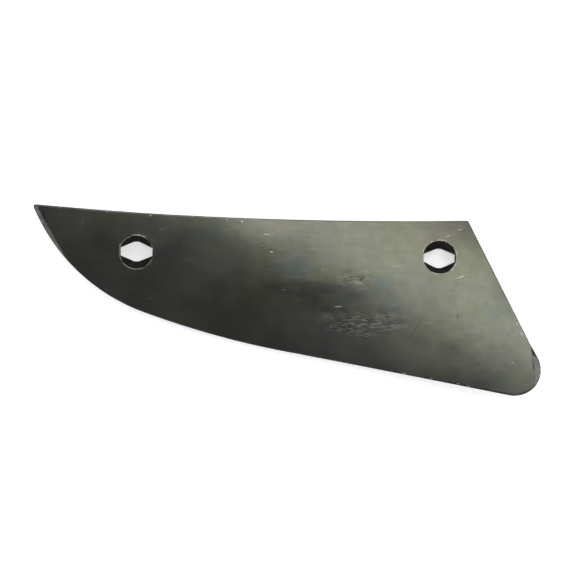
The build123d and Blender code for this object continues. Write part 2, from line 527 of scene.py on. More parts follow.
def breast_outline(plan):
    """Closed path round the plate with the steel on its left, and the spots the flats need."""
    tip = -plan.bolt_spacing / 2 - plan.tip_reach + 1j * plan.tip_height
    corner = plan.bolt_spacing / 2 + plan.corner_reach + 1j * plan.corner_height
    lean, slope = plan.share_edge_lean, plan.shin_slope
    shin_run = turned(pi - slope)
    share_inward = turned(pi + lean)
    share_down = turned(lean - pi / 2)
    middle = -1j * plan.shin_drop
    turn = middle + shin_run * plan.shin_turn_reach

    # the shin: a bend that touches its straight, then an arc that ends at the tip
    out = pi / 2 - slope
    bend_center = turn + plan.shin_bend_radius * turned(out)
    bend_out = out - plan.shin_bend_angle
    bend_end = bend_center - plan.shin_bend_radius * turned(bend_out)
    chord = tip - bend_end
    tip_arc_radius = abs(chord) ** 2 / (2 * (chord * np.conj(turned(bend_out))).real)
    tip_arc_center = bend_end + tip_arc_radius * turned(bend_out)

    # the nose circle touches the shin and swells past the share edge
    offset = plan.nose_radius - plan.nose_swell
    base = corner + share_inward * offset
    start = middle + turned(out) * plan.nose_radius
    across = np.array([[share_down.real, -shin_run.real], [share_down.imag, -shin_run.imag]])
    gap = start - base
    steps = np.linalg.solve(across, [gap.real, gap.imag])
    nose_center = base + share_down * steps[0]
    nose_start = nose_center - share_inward * offset - share_down * plan.nose_lead
    lever = nose_start - nose_center
    touch = np.angle(lever) - np.arccos(plan.nose_radius / abs(lever))
    lead_end = nose_center + plan.nose_radius * turned(touch)
    nose_end = nose_center - plan.nose_radius * turned(out)

    # the rear edge bows inwards, so its middle lies outside the plate
    edge = corner - tip
    sagitta_arm = np.sqrt(plan.rear_edge_radius**2 - abs(edge) ** 2 / 4)
    rear_center = (tip + corner) / 2 + 1j * edge / abs(edge) * sagitta_arm
    outside = plan.rear_edge_radius + plan.tip_radius
    inside = tip_arc_radius - plan.tip_radius
    tip_round = circles_meet(rear_center, outside, tip_arc_center, inside, tip)
    corner_line = corner + share_inward * plan.corner_radius
    outside = plan.rear_edge_radius + plan.corner_radius
    heading = np.angle(share_down)
    corner_round = line_meets_circle(corner_line, heading, rear_center, outside, corner)

    toward_rear = np.angle(rear_center - tip_round)
    toward_shin = np.angle(tip_round - tip_arc_center) % (2 * pi)
    corner_rear = np.angle(rear_center - corner_round)
    share_angle = np.angle(-share_inward)
    share_stop = corner_round - share_inward * plan.corner_radius
    start_angle = np.angle(corner_round - rear_center)
    stop_angle = np.angle(tip_round - rear_center)
    runs = [
        arc(tip_arc_center, tip_arc_radius, toward_shin, bend_out + pi),
        arc(bend_center, plan.shin_bend_radius, bend_out + pi, out + pi),
        line(turn, nose_end),
        arc(nose_center, plan.nose_radius, out - pi, touch),
        line(lead_end, nose_start),
        line(nose_start, share_stop),
        arc(corner_round, plan.corner_radius, share_angle, corner_rear),
        arc(rear_center, plan.rear_edge_radius, start_angle, stop_angle),
        arc(tip_round, plan.tip_radius, toward_rear, toward_shin),
    ]
    path = joined(runs, turning_weight=0.006)
    spots = {
        "nose_start": nose_start,
        "share_inward": share_inward,
        "tip_arc_center": tip_arc_center,
        "tip_arc_radius": tip_arc_radius,
        "tip": tip,
        "corner": corner,
    }
    return path, spots


def passage_reach(seats, turn):
    """How far the passage reaches from its axis at an angle.

    It is the hull of a circle and a crossing bar, so a straight side runs from each corner of
    the bar to where it touches the circle, and the corners of the bar are rounded.
    """
    circle = seats.passage_width / 2
    end = seats.passage_length / 2
    corner = end + 1j * seats.nib_width / 2
    rounding = seats.nib_corner_radius
    touch = np.angle(corner) + np.arccos(circle / abs(corner))
    rise = (circle - rounding - (end - rounding) * cos(touch)) / sin(touch)
    hub = end - rounding + 1j * rise
    folded = np.arctan2(np.abs(np.sin(turn)), np.abs(np.cos(turn)))
    toward = (np.conj(hub) * turned(folded)).real
    rounded = toward + np.sqrt(np.maximum(rounding**2 - abs(hub) ** 2 + toward**2, 0.0))
    leaves_end = np.angle(end + 1j * rise)
    joins_side = np.angle(hub + rounding * turned(touch))
    places = [folded < leaves_end, folded < joins_side, folded < touch]
    reaches = [end / np.cos(folded), rounded, circle / np.cos(touch - folded)]
    return np.select(places, reaches, circle)


def seat_turns(seats, start, count):
    """Angles round a seat from a start, set closer where the passage has its corners."""
    corner = np.arctan2(seats.nib_width, seats.passage_length)
    turn = start + np.linspace(0.0, 2 * pi, TURN_SAMPLES)
    folded = np.arctan2(np.abs(np.sin(turn)), np.abs(np.cos(turn)))
    near = (folded - corner) / radians(CORNER_SPREAD)
    density = 1.0 + CORNER_CROWDING * np.exp(-(near**2))
    marks = running_total((density[1:] + density[:-1]) / 2)
    return np.interp(np.arange(count) / count * marks[-1], marks, turn)


# The plate is meshed as grids of plan spots and depths that share the points of their borders.


class Grids:
    """Collects grids of points, each with a finish number and a worn share, into one mesh."""

    def __init__(self):
        self.points = []
        self.worn = []
        self.quads = []
        self.finishes = []
        self.total = 0

    def add(self, points, worn, finish, flip=False, wrap=False, keep=None):
        """Adds a grid. Its quads turn from the first index to the second, seen from outside."""
        rows, columns = points.shape[:2]
        index = self.total + np.arange(rows * columns).reshape(rows, columns)
        if wrap:
            index = np.concatenate([index, index[:1]])
        corners = [index[:-1, :-1], index[1:, :-1], index[1:, 1:], index[:-1, 1:]]
        quads = np.stack(corners[::-1] if flip else corners, -1)
        kinds = np.broadcast_to(finish, quads.shape[:2])
        if keep is None:
            keep = np.ones(quads.shape[:2], bool)
        self.points.append(points.reshape(-1, 3))
        self.worn.append(np.broadcast_to(worn, points.shape[:2]).reshape(-1))
        self.quads.append(quads[keep])
        self.finishes.append(kinds[keep])
        self.total += rows * columns

    def mesh(self, name):
        """The grids as one mesh, with shared points merged and sharp edges marked."""
        data = bpy.data.meshes.new(name)
        quads = np.concatenate(self.quads)
        data.from_pydata(np.concatenate(self.points).tolist(), [], quads.tolist())
        data.attributes.new("worn", "FLOAT", "POINT")
        data.attributes["worn"].data.foreach_set("value", np.concatenate(self.worn))
        data.polygons.foreach_set("material_index", np.concatenate(self.finishes))
        shape = bmesh.new()
        shape.from_mesh(data)
        bmesh.ops.remove_doubles(shape, verts=shape.verts, dist=MERGE_DISTANCE)
        loose = [vertex for vertex in shape.verts if not vertex.link_faces]
        bmesh.ops.delete(shape, geom=loose, context="VERTS")
        open_edges = sum(1 for edge in shape.edges if len(edge.link_faces) != 2)
        shape.to_mesh(data)
        shape.free()
        if open_edges:
            raise RuntimeError(f"{name} has {open_edges} open or doubled edges")
        data.shade_smooth()
        data.set_sharp_from_angle(angle=radians(SHARP_ANGLE))
        mark_borders_sharp(data, (FACE_FINISH, FLAT_FINISH))
        data.update()
        return data


def read(items, name, kind, width=1):
    """The values that all of a mesh's items have under a name, as one flat array."""
    values = np.empty(len(items) * width, kind)
    items.foreach_get(name, values)
    return values


def mark_borders_sharp(data, pair):
    """Marks the edges between faces of two finishes as sharp, on top of those marked already."""
    finishes = read(data.polygons, "material_index", np.int32)
    of_loop = np.repeat(finishes, read(data.polygons, "loop_total", np.int32))
    edges = read(data.loops, "edge_index", np.int32)
    lowest = np.full(len(data.edges), FINISH_COUNT)
    highest = np.full(len(data.edges), -1)
    np.minimum.at(lowest, edges, of_loop)
    np.maximum.at(highest, edges, of_loop)
    sharp = read(data.edges, "use_edge_sharp", bool)
    sharp |= (lowest == min(pair)) & (highest == max(pair))
    data.edges.foreach_set("use_edge_sharp", sharp)


def cut_marks(sheet, path, plane):
    """Marks of a path where a flat's crease leaves the rim: where the cut starts and stops."""
    marks = np.linspace(0.0, path[0][-1], OUTLINE_SAMPLES)
    spot, heading = along_path(path, marks[:-1])
    depth = flat_depth(sheet, plane, spot + sheet.face_rim * turned(heading + pi / 2))
    ahead = np.roll(depth, -1)
    share_of_step = np.divide(depth, depth - ahead, where=depth != ahead, out=depth * 0)
    crossing = marks[:-1] + share_of_step * marks[1]
    starts = crossing[(depth <= 0) & (ahead > 0)]
    stops = crossing[(depth > 0) & (ahead <= 0)]
    return starts[-1], stops[0]


def crease(sheet, plane, heading, rim):
    """Spots of a flat's crease, between the two ends of its stretch of rim.

    They start on the chord, spaced as the rim is, and step along the fall of the flat until
    the face meets its plane.
    """
    runs = running_total(np.abs(np.diff(rim)))
    spots = rim[0] + (rim[-1] - rim[0]) * runs / runs[-1]
    origin, outward = plane
    fall = heading / abs(heading)
    for _ in range(CREASE_ROUNDS):
        face = sheet_point(sheet, spots, 0.0)
        steep = outward[0] * fall.real + outward[1] * fall.imag
        spots = spots - fall * ((face - origin) @ outward) / steep
    spots[0], spots[-1] = rim[0], rim[-1]
    return spots


def filled(front, rear, first, last):
    """Grid between four borders, by blending them and taking off the blend of their corners.

    Front and rear run along the plate, and first and last run across it. The shares of the
    blend follow the lengths along the borders.
    """
    def shares(border):
        runs = running_total(np.abs(np.diff(border)))
        return runs / runs[-1]

    near, far = shares(front)[:, None], shares(rear)[:, None]
    low, high = shares(first)[None, :], shares(last)[None, :]
    along = (near + far) / 2
    across = low * (1 - along) + high * along
    along = near * (1 - across) + far * across
    lengthways = (1 - across) * front[:, None] + across * rear[:, None]
    crossways = (1 - along) * first[None, :] + along * last[None, :]
    corners = (1 - along) * ((1 - across) * front[0] + across * rear[0]) + along * (
        (1 - across) * front[-1] + across * rear[-1]
    )
    return lengthways + crossways - corners


def block_round(grid, spot, reach):
    """Index ranges of the cells of a grid that hold a square of the given reach about a spot."""
    inside = (np.abs(grid.real - spot.real) < reach) & (np.abs(grid.imag - spot.imag) < reach)
    rows = np.flatnonzero(inside.any(1))
    columns = np.flatnonzero(inside.any(0))
    return rows[0] - 1, rows[-1] + 1, columns[0] - 1, columns[-1] + 1


def block_border(values, block):
    """Values along a block's border, counter-clockwise from its first corner."""
    low, high, front, rear = block
    return np.concatenate(
        [
            values[low:high, front],
            values[high, front:rear],
            values[high:low:-1, rear],
            values[low, rear:front:-1],
        ]
    )


def waves(spot, longest, shortest, count, seed):
    """Slow ripple from nothing to one: a sum of seeded plane waves, by its wavelengths."""
    dice = np.random.default_rng(seed)
    total = np.zeros(spot.shape)
    for _ in range(count):
        wave = dice.uniform(shortest, longest)
        step = turned(dice.uniform(0.0, 2 * pi)) * 2 * pi / wave
        total += np.sin((spot * np.conj(step)).real + dice.uniform(0.0, 2 * pi))
    return 0.5 + 0.5 * total / count


def dent(spot, middle, reach, width, turn):
    """Long shallow dent: a bell across its turned axis and along it, one deep in the middle."""
    place = (spot - middle) * turned(-turn)
    return np.exp(-((place.real / reach) ** 2) - (place.imag / width) ** 2)


def face_relief(wear, spot):
    """How deep press ripples and knocks lie in the face, always into the steel."""
    relief = wear.ripple * waves(spot, **FACE_WAVES)
    dice = np.random.default_rng(DENT_SEED)
    for middle, spread, count in SCUFF_PATCHES:
        for _ in range(count):
            along = dice.uniform(-0.5, 0.5) * spread.real
            offset = along + 1j * dice.uniform(-0.5, 0.5) * spread.imag
            reach = dice.uniform(*DENT_REACHES)
            width = dice.uniform(*DENT_WIDTHS)
            deep = wear.scuff * dice.uniform(*DENT_DEPTHS)
            relief += deep * dent(spot, middle + offset, reach, width, dice.uniform(0.0, pi))
    return relief


def seat_grid(sheet, seats, hub, front_border, back_border, turns):
    """Points of a bolt seat, from its block on the face down through the steel to its back.

    Round the seat's own axis go the angles. Down it go the worn rim, a straight land, a cone
    as far as the passage reaches in, and the passage's straight wall.
    """
    origin, x_axis, y_axis, normal = touching_frame(sheet, hub)
    way = turned(turns)

    def spots_under(reach, depth):
        """Plan spots whose points at a depth lie at the given reaches from the seat's axis."""
        spot = hub + reach
        for _ in range(SEAT_ROUNDS):
            offset = sheet_point(sheet, spot, depth) - origin
            spot = spot + reach - (offset @ x_axis + 1j * (offset @ y_axis))
        return spot

    def height(spot, depth):
        return (sheet_point(sheet, spot, depth) - origin) @ normal

    passage = passage_reach(seats, turns)
    mouth = spots_under(way * (seats.mouth_radius + seats.mouth_rim), 0.0)
    outlet = spots_under(way * passage, sheet.thickness)
    top = height(mouth, 0.0)
    bottom = height(outlet, sheet.thickness)
    blend = np.linspace(0.0, 1.0, SEAT_APRON + 1)
    apron = front_border[:, None] * (1 - blend) + mouth[:, None] * blend
    under = outlet[:, None] * (1 - blend) + back_border[:, None] * blend

    turn = np.linspace(0.0, pi / 2, SEAT_RIM + 1)[1:]
    rim_reach = seats.mouth_radius + seats.mouth_rim * (1 - np.sin(turn))
    rim_height = top[:, None] - seats.mouth_rim * (1 - np.cos(turn))
    down = np.linspace(0.0, 1.0, SEAT_LAND + 1)[1:]
    land_top = top[:, None] - seats.mouth_rim
    land_height = land_top * (1 - down) - seats.land * down
    steep = tan(seats.cone_angle / 2)
    inward = np.linspace(0.0, 1.0, SEAT_CONE + 1)[1:]
    cone_reach = seats.mouth_radius * (1 - inward) + passage[:, None] * inward
    cone_height = -seats.land - (seats.mouth_radius - cone_reach) / steep
    down = np.linspace(0.0, 1.0, SEAT_WALL + 1)[1:-1]
    wall_height = cone_height[:, -1:] * (1 - down) + bottom[:, None] * down
    ones = np.ones(len(turns))[:, None]
    reaches = np.concatenate(
        [
            ones * rim_reach,
            ones * np.full(SEAT_LAND, seats.mouth_radius),
            cone_reach,
            passage[:, None] * np.ones(len(down)),
        ],
        1,
    )
    heights = np.concatenate([rim_height, land_height, cone_height, wall_height], 1)
    flat = reaches * way[:, None]
    inner = (
        origin
        + flat.real[..., None] * x_axis
        + flat.imag[..., None] * y_axis
        + heights[..., None] * normal
    )
    return apron, inner, under


def breast_mesh(sheet, plan, seats, flats, cells, wear):
    """Mesh of the plate: its face, back, rims, cut edges, flats and bolt seats, all closed."""
    path, marks_of = breast_outline(plan)
    total = path[0][-1]
    nose_fall = -marks_of["share_inward"] * turned(-flats.nose_turn)
    nose_plane = flat_plane(sheet, marks_of["nose_start"], nose_fall, flats.nose_slope)
    hub, radius = marks_of["tip_arc_center"], marks_of["tip_arc_radius"]
    tip_fall = turned(np.angle(marks_of["tip"] - hub) + flats.tip_setback / radius)
    tip_spot = hub + (radius - flats.tip_width) * tip_fall
    tip_plane = flat_plane(sheet, tip_spot, tip_fall, flats.tip_slope)

    def cut_depth(spot):
        nose = flat_depth(sheet, nose_plane, spot)
        return np.maximum(np.maximum(nose, flat_depth(sheet, tip_plane, spot)), 0.0)

    # stations round the rim: the shin, the share edge, the rear edge and the tip
    nose_low, nose_high = cut_marks(sheet, path, nose_plane)
    tip_rear, tip_shin = cut_marks(sheet, path, tip_plane)
    corner_mark = path[0][np.argmin(np.abs(path[1] - marks_of["corner"]))]
    along, across = cells.along, cells.across
    nose_cells = round(across * (nose_high - nose_low) / (corner_mark - nose_low))
    stations = np.concatenate(
        [
            np.linspace(tip_shin, nose_low, along, endpoint=False),
            np.linspace(nose_low, nose_high, nose_cells, endpoint=False),
            np.linspace(nose_high, corner_mark, across - nose_cells, endpoint=False),
            np.linspace(corner_mark, tip_rear, along, endpoint=False),
            np.linspace(tip_rear, tip_shin + total, across, endpoint=False),
        ]
    )
    edge, heading = along_path(path, stations)
    inward = turned(heading + pi / 2)
    edge = edge + inward * wear.edge_wander * waves(edge, **EDGE_WAVES)
    rim = edge + inward * sheet.face_rim
    back_rim = edge + inward * sheet.back_rim

    def borders(ring):
        """Borders of the plate's middle: front, rear, first and last. They follow the creases."""
        shin = ring[: along + 1]
        share_side = ring[along : along + across + 1].copy()
        rear = ring[along + across : 2 * along + across + 1][::-1]
        tip_side = np.append(ring[2 * along + across :], ring[0])
        nose_line = crease(sheet, nose_plane, nose_fall, share_side[: nose_cells + 1])
        tip_line = crease(sheet, tip_plane, tip_fall, tip_side)
        nose_side = share_side[: nose_cells + 1].copy()
        share_side[: nose_cells + 1] = nose_line
        collars = ((nose_side, nose_line), (tip_side, tip_line))
        return filled(shin, rear, tip_line[::-1], share_side), collars

    grids = Grids()
    fade = np.linspace(0.0, 1.0, COLLAR_ROWS + 1)[None, :]
    hubs = (-plan.bolt_spacing / 2 + 0j, plan.bolt_spacing / 2 + 0j)

    def calmed(relief, spot, calm_reach):
        """Relief that dies out as it comes near to the reach round each seat."""
        for seat_hub in hubs:
            gap = (np.abs(spot - seat_hub) - calm_reach) / SEAT_CALM
            relief = relief * np.clip(gap, 0.0, 1.0)
        return relief

    def on_face(spot, depth):
        relief = calmed(face_relief(wear, spot), spot, seats.mouth_radius + seats.mouth_rim)
        return sheet_point(sheet, spot, depth + relief)

    def on_back(spot):
        relief = calmed(wear.ripple * waves(spot, **BACK_WAVES), spot, seats.mouth_radius)
        return sheet_point(sheet, spot, sheet.thickness - relief)

    # the middle of the face and of the back, less a block round each seat
    face, face_collars = borders(rim)
    back, back_collars = borders(back_rim)
    keep = np.ones((along, across), bool)
    blocks = [block_round(face, seat_hub, seats.mouth_radius * SEAT_BLOCK) for seat_hub in hubs]
    for low, high, front, rear in blocks:
        keep[low:high, front:rear] = False
    depth = np.zeros(face.shape)
    rim_depth = cut_depth(rim)
    depth[:, 0] = rim_depth[: along + 1]
    depth[:, -1] = rim_depth[along + across : 2 * along + across + 1][::-1]
    depth[-1, nose_cells:] = rim_depth[along + nose_cells : along + across + 1]
    rim_near = np.zeros(face.shape)
    rim_near[0, :] = rim_near[-1, :] = 1.0
    rim_near[:, 0] = rim_near[:, -1] = 1.0
    rim_near[0, 1:-1] = CREASE_WEAR
    rim_near[-1, 1:nose_cells] = CREASE_WEAR
    grids.add(on_face(face, depth), rim_near, FACE_FINISH, keep=keep)
    grids.add(on_back(back), rim_near, BACK_FINISH, flip=True, keep=keep)

    # the ground flats, and the back under them
    for outer, inner in face_collars:
        spot = outer[:, None] * (1 - fade) + inner[:, None] * fade
        deep = cut_depth(spot)
        deep[:, -1] = 0.0
        deep[0, -1] = deep[0, 0]
        deep[-1, -1] = deep[-1, 0]
        near = np.broadcast_to(1 - fade, spot.shape)
        grids.add(on_face(spot, deep), near, FLAT_FINISH)
    for outer, inner in back_collars:
        spot = outer[:, None] * (1 - fade) + inner[:, None] * fade
        grids.add(on_back(spot), 0.0, BACK_FINISH, flip=True)

    # rims and cut edges, as one profile carried round the plate
    turn = np.linspace(0.0, pi / 2, RIM_ROWS + 1)[None, :]
    inset = sheet.face_rim * (1 - np.sin(turn))
    spot = edge[:, None] + inward[:, None] * inset
    spot[:, 0] = rim
    front_depth = np.maximum(sheet.face_rim * (1 - np.cos(turn)), cut_depth(spot))
    front_rows = on_face(spot, front_depth)
    down = np.linspace(0.0, 1.0, WALL_ROWS + 1)[None, 1:-1]
    wall_depth = front_depth[:, -1:] * (1 - down) + (sheet.thickness - sheet.back_rim) * down
    wall_relief = face_relief(wear, edge)[:, None] * (1 - down)
    wall_spot = np.broadcast_to(edge[:, None], wall_depth.shape)
    wall_rows = sheet_point(sheet, wall_spot, wall_depth + wall_relief)
    inset = sheet.back_rim * (1 - np.cos(turn))
    back_spot = edge[:, None] + inward[:, None] * inset
    back_spot[:, -1] = back_rim
    back_depth = sheet.thickness - sheet.back_rim * (1 - np.sin(turn))
    back_relief = wear.ripple * waves(back_spot, **BACK_WAVES)
    back_rows = sheet_point(sheet, back_spot, back_depth - back_relief)
    profile = np.concatenate([front_rows, wall_rows, back_rows], 1)
    near = np.ones(profile.shape[1])
    near[RIM_ROWS + 1 : RIM_ROWS + WALL_ROWS] = EDGE_WEAR
    finish = np.full(profile.shape[1] - 1, EDGE_FINISH)
    finish[:RIM_ROWS] = RIM_FINISH
    finish[-RIM_ROWS:] = RIM_FINISH
    grids.add(profile, near[None, :], finish, flip=True, wrap=True)

    # the seats, each one profile carried round its own axis
    for seat_hub, block in zip(hubs, blocks, strict=True):
        front_border = block_border(face, block)
        back_border = block_border(back, block)
        start = np.angle(front_border[0] - seat_hub)
        turns = seat_turns(seats, start, len(front_border))
        apron, inner, under = seat_grid(sheet, seats, seat_hub, front_border, back_border, turns)
        rows = np.concatenate([on_face(apron, 0.0), inner, on_back(under)], 1)
        finish = np.full(rows.shape[1] - 1, SEAT_FINISH)
        finish[:SEAT_APRON] = FACE_FINISH
        finish[SEAT_APRON : SEAT_APRON + SEAT_RIM] = MOUTH_FINISH
        finish[-SEAT_APRON:] = BACK_FINISH
        near = np.zeros(rows.shape[1])
        near[SEAT_APRON : SEAT_APRON + SEAT_RIM + 1] = 1.0
        grids.add(rows, near[None, :], finish, wrap=True)

    data = grids.mesh("breast_plate_steel")
    set_down(data)
    return data


def set_down(data):
    """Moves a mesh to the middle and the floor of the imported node's box."""
    points = read(data.vertices, "co", float, width=3).reshape(-1, 3)
    low, high = points.min(0), points.max(0)
    middle = (np.array(cad_low) + np.array(cad_high)) / 2
    shift = middle - (low + high) / 2
    shift[2] = cad_low.z - low[2]
    data.vertices.foreach_set("co", (points + shift).reshape(-1))
    data.update()


# Materials. Every pattern reads the plate's own coordinates, in metres.


class Steel:
    """A steel that is being mixed: its material, its shader and the nodes that feed it."""

    def __init__(self, name):
        self.material = bpy.data.materials.new(name)
        self.material.use_nodes = True
        self.tree = self.material.node_tree
        self.shader = self.tree.nodes["Principled BSDF"]
        self.shader.inputs["Metallic"].default_value = 1.0
        self.place = self.node("TexCoord", {}).outputs["Object"]

    def feed(self, socket, value):
        """Sets a socket's value, or links it to the socket that works the value out."""
        if isinstance(value, bpy.types.NodeSocket):
            self.tree.links.new(value, socket)
        elif socket.type == "RGBA":
            socket.default_value = (*value, 1.0)
        else:
            socket.default_value = value

    def node(self, kind, inputs, **settings):
        """Adds a node with its settings and inputs."""
        made = self.tree.nodes.new("ShaderNode" + kind)
        for name, setting in settings.items():
            setattr(made, name, setting)
        for key, value in inputs.items():
            self.feed(made.inputs[key], value)
        return made

    def math(self, operation, first, second=0.0, third=0.0):
        """Arithmetic on up to three values."""
        inputs = {0: first, 1: second, 2: third}
        return self.node("Math", inputs, operation=operation).outputs[0]

    def times(self, first, second):
        """Product of two values."""
        return self.math("MULTIPLY", first, second)

    def added(self, total, value, part):
        """A total, plus the given part of a value."""
        return self.math("MULTIPLY_ADD", value, part, total)

    def noise(self, size, detail=2.0, roughness=0.5, place=None):
        """Cloudy noise from nothing to one, whose lumps have the given size."""
        inputs = {"Vector": place or self.place, "Scale": 1 / size}
        inputs |= {"Detail": detail, "Roughness": roughness}
        return self.node("TexNoise", inputs).outputs["Fac"]

    def spread(self, value, low, high, bottom=0.0, top=1.0):
        """Runs smoothly from bottom to top while the value runs from low to high."""
        inputs = {"Value": value, "From Min": low, "From Max": high}
        inputs |= {"To Min": bottom, "To Max": top}
        return self.node("MapRange", inputs, interpolation_type="SMOOTHSTEP").outputs["Result"]

    def mix(self, share_of_second, first, second):
        """Blend of two colours, each a colour or the socket that makes it."""
        inputs = {0: share_of_second, 6: first, 7: second}
        return self.node("Mix", inputs, data_type="RGBA").outputs[2]

    def blotched(self, value, low, high, first, second, most=1.0):
        """Blend from one colour towards another, while the value runs from low to high."""
        return self.mix(self.spread(value, low, high, 0.0, most), first, second)

    def dimmed(self, tint, strength):
        """Colour times a strength."""
        inputs = {0: tint, "Scale": strength}
        return self.node("VectorMath", inputs, operation="SCALE").outputs[0]

    def shaded(self, tint, value, low, high, bottom, top):
        """Colour times a strength that follows the value as in spread."""
        return self.dimmed(tint, self.spread(value, low, high, bottom, top))

    def framed(self, place, spot, turn, long, wide):
        """Place in a frame on a spot, turned, and measured in the two lengths given."""
        inputs = {
            "Vector": place,
            "Location": (spot.real, spot.imag, 0.0),
            "Rotation": (0.0, 0.0, turn),
            "Scale": (long, wide, 1.0),
        }
        return self.node("Mapping", inputs, vector_type="TEXTURE").outputs[0]

    def warped(self, size, reach):
        """Place pushed about by up to half the reach, with lumps of the given size."""
        push = self.node("TexNoise", {"Vector": self.place, "Scale": 1 / size, "Detail": 2.0})
        centred = self.node("VectorMath", {0: push.outputs["Color"], 1: (0.5, 0.5, 0.5)})
        centred.operation = "SUBTRACT"
        inputs = {0: centred.outputs[0], 1: (reach, reach, reach), 2: self.place}
        return self.node("VectorMath", inputs, operation="MULTIPLY_ADD").outputs[0]

    def streaks(self, turn, long, wide, detail=2.0):
        """Noise drawn out along a turned direction."""
        return self.noise(1.0, detail, place=self.framed(self.place, 0j, turn, long, wide))

    def marks(self, place, rows, heart, rim):
        """Sum of oval marks. Each is as strong as its row says up to its heart, then fades."""
        total = 0.0
        for spot, long, wide, turn, strength in rows:
            half_long, half_wide = long / 2 * MILLIMETRE, wide / 2 * MILLIMETRE
            local = self.framed(place, spot * MILLIMETRE, radians(turn), half_long, half_wide)
            reach = self.node("VectorMath", {0: local}, operation="LENGTH").outputs["Value"]
            mark = self.spread(reach, heart, rim, strength, 0.0)
            total = self.math("ADD", mark, total)
        return total

    def worn(self):
        """The mesh's share of wear: one on the rims and nothing away from them."""
        return self.node("Attribute", {}, attribute_name="worn").outputs["Fac"]

    def finished(self, tint, roughness, height):
        """The material, once its shader has its tint, its roughness and its relief."""
        bump = self.node("Bump", {"Height": height, "Distance": 1.0, "Strength": 1.0})
        self.feed(self.shader.inputs["Base Color"], tint)
        self.feed(self.shader.inputs["Roughness"], roughness)
        self.feed(self.shader.inputs["Normal"], bump.outputs["Normal"])
        set_out(self.tree)
        return self.material

    def grained(self, tint, value, smoothest, roughest, depth):
        """The material, where one noise makes both its roughness and its relief."""
        roughness = self.spread(value, *NOISE_RANGE, smoothest, roughest)
        return self.finished(tint, roughness, self.times(value, depth))


def set_out(tree):
    """Sets a tree's nodes out in columns, each column left of all that it feeds."""
    columns = {node.name: 0 for node in tree.nodes}
    moved = True
    while moved:
        moved = False
        for link in tree.links:
            column = columns[link.to_node.name] + 1
            if columns[link.from_node.name] < column:
                columns[link.from_node.name] = column
                moved = True
    filled_rows = {}
    for node in tree.nodes:
        column = columns[node.name]
        row = filled_rows.get(column, 0)
        node.location = (-220.0 * column, -260.0 * row)
        filled_rows[column] = row + 1


def scale_tint(steel, look):
    """Tint of mill scale: clouds of olive and grey with patches of teal, and small blotches."""
    cloud = steel.noise(size=0.05, detail=4.0, roughness=0.55)
    tint = steel.blotched(cloud, 0.36, 0.64, look.olive, look.grey)
    patch = steel.noise(size=0.022, detail=3.0)
    tint = steel.blotched(patch, 0.5, 0.8, tint, look.teal, most=0.6)
    blotch = steel.noise(size=0.007, detail=4.0, roughness=0.6)
    return steel.shaded(tint, blotch, *NOISE_RANGE, 0.93, 1.07)


def scale_height(steel, look):
    """Relief of mill scale: shallow waves and a fine grain."""
    waves_height = steel.times(steel.noise(size=0.009), look.wave)
    return steel.added(waves_height, steel.noise(size=0.0008, detail=1.0), look.grain)


def mouth_chips():
    """Rows of marks for the chips round the mouths, each laid along the rim."""
    return [
        (hub + MOUTH_CHIP_REACH * turned(radians(at)), long, MOUTH_CHIP_WIDTH, at + 90, strength)
        for hub, chips in MOUTH_CHIPS
        for at, long, strength in chips
    ]


def face_steel(look):
    """Oiled mill scale of the face, with its scrapes, chips, stains and scuffed spots, and
    patches of painted shade and painted sheen.
    """
    steel = Steel("scaled_face")
    tint = scale_tint(steel, look)
    soft_place = steel.warped(0.012, 0.012)
    crisp_place = steel.warped(0.0015, 0.0009)
    # rosy and teal spots are tints of the scale; the dark patches are painted shade and the pale
    # ones painted sheen
    for rows, shade in (
        (ROSY_SPOTS, look.rosy),
        (TEAL_SPOTS, look.teal),
        (PAINTED_SHADE_PATCHES, look.painted_shade),
        (PAINTED_SHEEN_SPOTS, look.painted_sheen),
    ):
        tint = steel.mix(steel.marks(soft_place, rows, 0.3, 1.15), tint, shade)
    # painted shade with a crisp edge, in the colour of the painted shade patches
    painted_step_shade = steel.marks(crisp_place, PAINTED_SHADE_STEPS, 0.6, 1.05)
    tint = steel.mix(painted_step_shade, tint, look.painted_shade)

    drag = steel.streaks(radians(-3.0), 0.03, 0.0009, 4.0)
    tint = steel.shaded(tint, drag, 0.3, 0.75, 0.97, 1.06)
    fine_lines = steel.spread(steel.streaks(radians(9.0), 0.02, 0.00035), 0.7, 0.8)
    sparse = steel.spread(steel.noise(size=0.03), 0.5, 0.65)
    lines = steel.times(fine_lines, sparse)

    # scrapes dragged almost along the plate, with pits between them
    scuffed = steel.marks(soft_place, SCUFFED_SPOTS, 0.3, 1.1)
    crossed = 0.0
    for turn, long, wide in SCRAPE_RUNS:
        run = steel.spread(steel.streaks(radians(turn), long, wide, 0.0), 0.66, 0.74)
        crossed = steel.math("MAXIMUM", run, crossed)
    scraped = steel.times(crossed, scuffed)
    pits = steel.spread(steel.noise(size=0.003), 0.6, 0.66)
    pitted = steel.times(pits, scuffed)

    faint = steel.marks(crisp_place, FAINT_MARKS, 0.1, 1.4)
    dark = steel.marks(crisp_place, DARK_MARKS, 0.2, 1.3)
    nicked = steel.spread(steel.noise(size=0.004, detail=3.0), 0.56, 0.68)
    nicks = steel.times(nicked, steel.worn())
    pale = steel.marks(crisp_place, (*BRIGHT_CHIPS, *mouth_chips()), 0.5, 1.2)
    for value, part in ((faint, 0.3), (lines, 0.12), (scraped, 0.25), (nicks, 0.4)):
        pale = steel.added(pale, value, part)
    pale = steel.math("MINIMUM", pale, 1.0)
    dark = steel.added(dark, pitted, 0.7)
    tint = steel.shaded(tint, dark, 0.0, 1.0, 1.0, 0.35)
    tint = steel.mix(pale, tint, look.bare)

    cloudy = steel.noise(size=0.03, detail=4.0)
    roughness = steel.spread(cloudy, *NOISE_RANGE, look.gloss - 0.02, look.gloss + 0.03)
    roughness = steel.added(roughness, drag, 0.03)
    roughness = steel.added(roughness, pale, 0.35)
    height = steel.added(scale_height(steel, look), scraped, -look.scrape)
    return steel.finished(tint, roughness, height)


